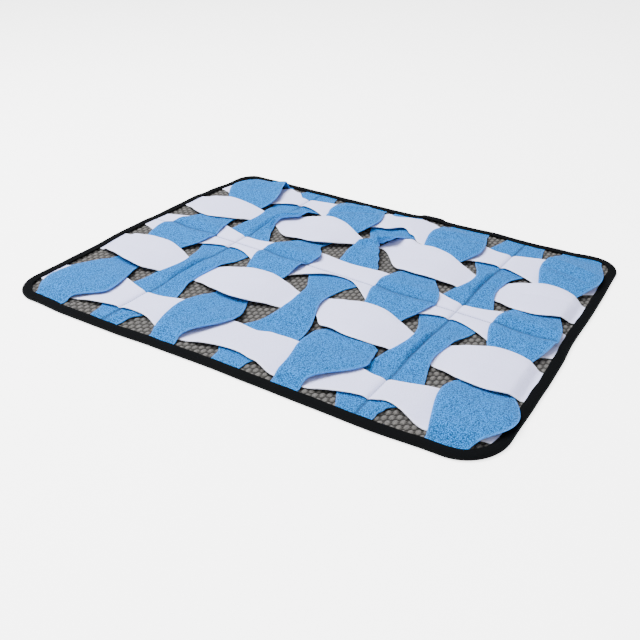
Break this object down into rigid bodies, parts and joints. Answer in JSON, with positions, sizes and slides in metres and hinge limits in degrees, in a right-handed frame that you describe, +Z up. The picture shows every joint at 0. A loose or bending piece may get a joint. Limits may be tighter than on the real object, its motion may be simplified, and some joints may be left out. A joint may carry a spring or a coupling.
{
  "type": "snuffle mat",
  "caption": "Flat rectangular pet foraging mat: scalloped fleece strips woven into raised pockets on a bound base cloth.",
  "frame": {"origin": "on the floor under the middle of the mat's bounding box", "axes": "+X left to right along the long side, +Y from the front edge to the back edge, +Z up"},
  "size_m": [0.703, 0.504, 0.0257],
  "materials": {
    "base_cloth": "matte lumpy weave",
    "binding_tape": "matte woven tape",
    "blue_fleece": "brushed fleece",
    "white_fleece": "brushed fleece"
  },
  "bodies": {
    "root": {"base_panel": "base_cloth", "edge_binding": "binding_tape", "blue_strip_1": "blue_fleece", "blue_strip_2": "blue_fleece", "blue_strip_3": "blue_fleece", "blue_strip_4": "blue_fleece", "blue_strip_5": "blue_fleece", "blue_strip_6": "blue_fleece", "blue_strip_7": "blue_fleece", "white_strip_1": "white_fleece", "white_strip_2": "white_fleece", "white_strip_3": "white_fleece", "white_strip_4": "white_fleece", "white_strip_5": "white_fleece"}
  },
  "joints": []
}
